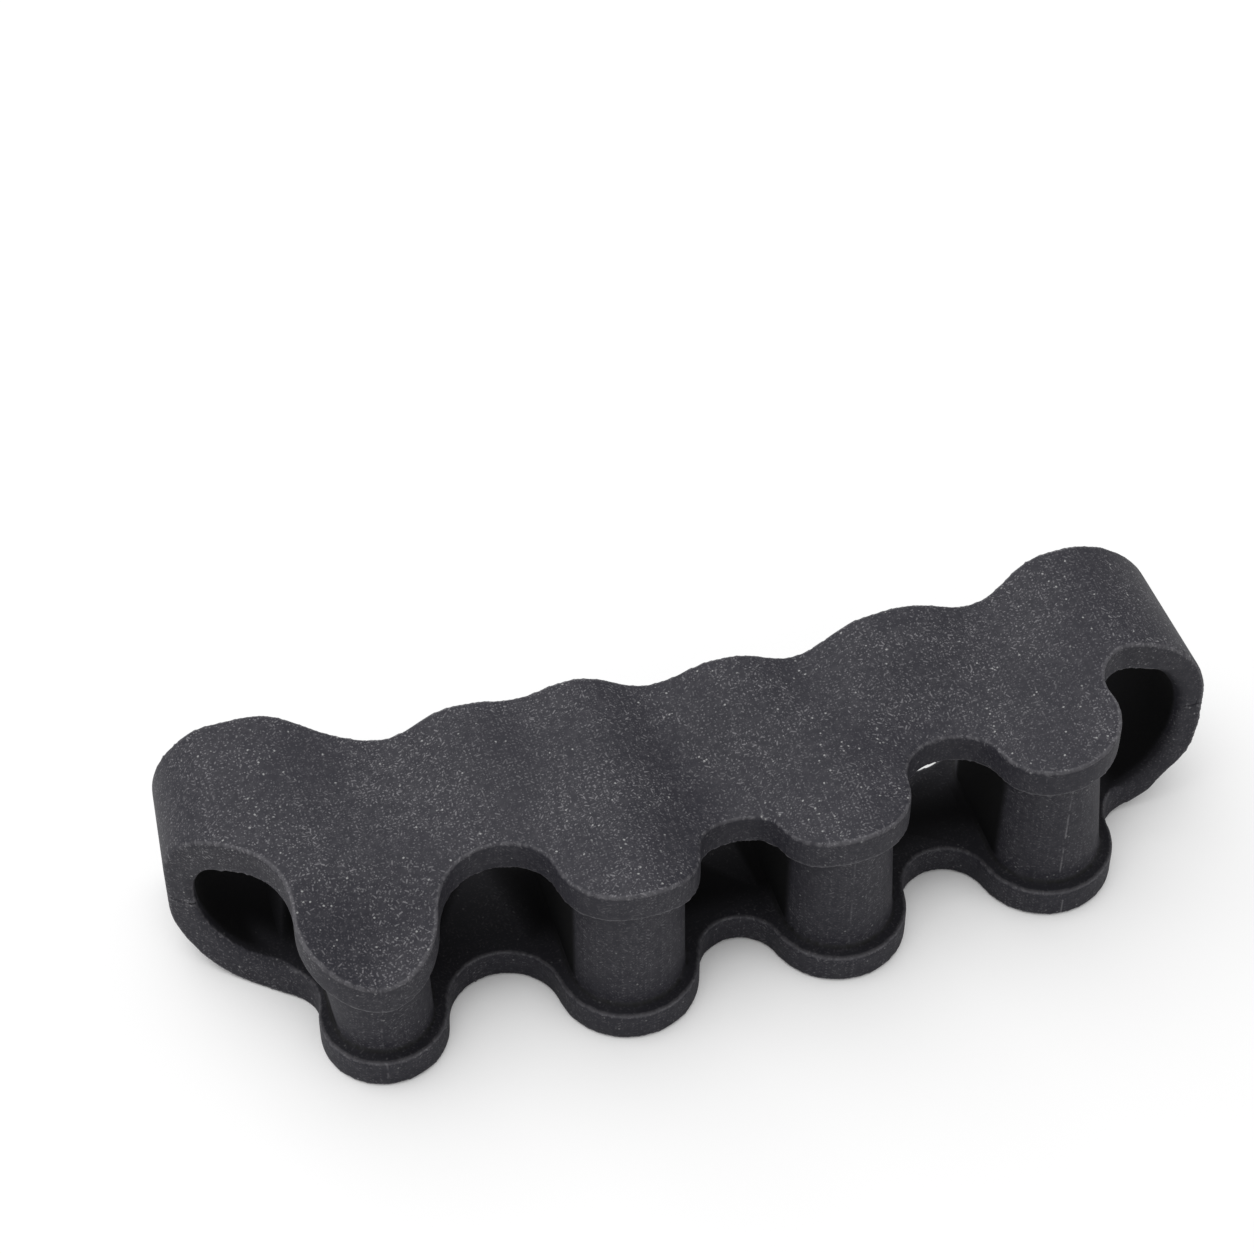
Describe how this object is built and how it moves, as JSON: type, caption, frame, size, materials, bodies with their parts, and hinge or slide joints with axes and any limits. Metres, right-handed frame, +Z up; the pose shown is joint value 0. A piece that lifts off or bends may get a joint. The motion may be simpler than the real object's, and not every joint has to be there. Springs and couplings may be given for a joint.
{
  "type": "toe separator",
  "caption": "Soft one-piece toe separator: lobed top and bottom sheets joined by upright pillars and closed into a loop at each end, with an opening for each toe.",
  "frame": {"origin": "middle of the bounding box in plan, on the flat underside of the bottom sheet", "axes": "+X along the row of toes towards the taller loop for the big toe, -Y towards the round lobes in front of the pillars, +Z up from the flat bottom sheet"},
  "size_m": [0.1082, 0.0352, 0.0253],
  "materials": {
    "rubber": "matte"
  },
  "bodies": {
    "root": {"toe_separator": "rubber"}
  },
  "joints": []
}
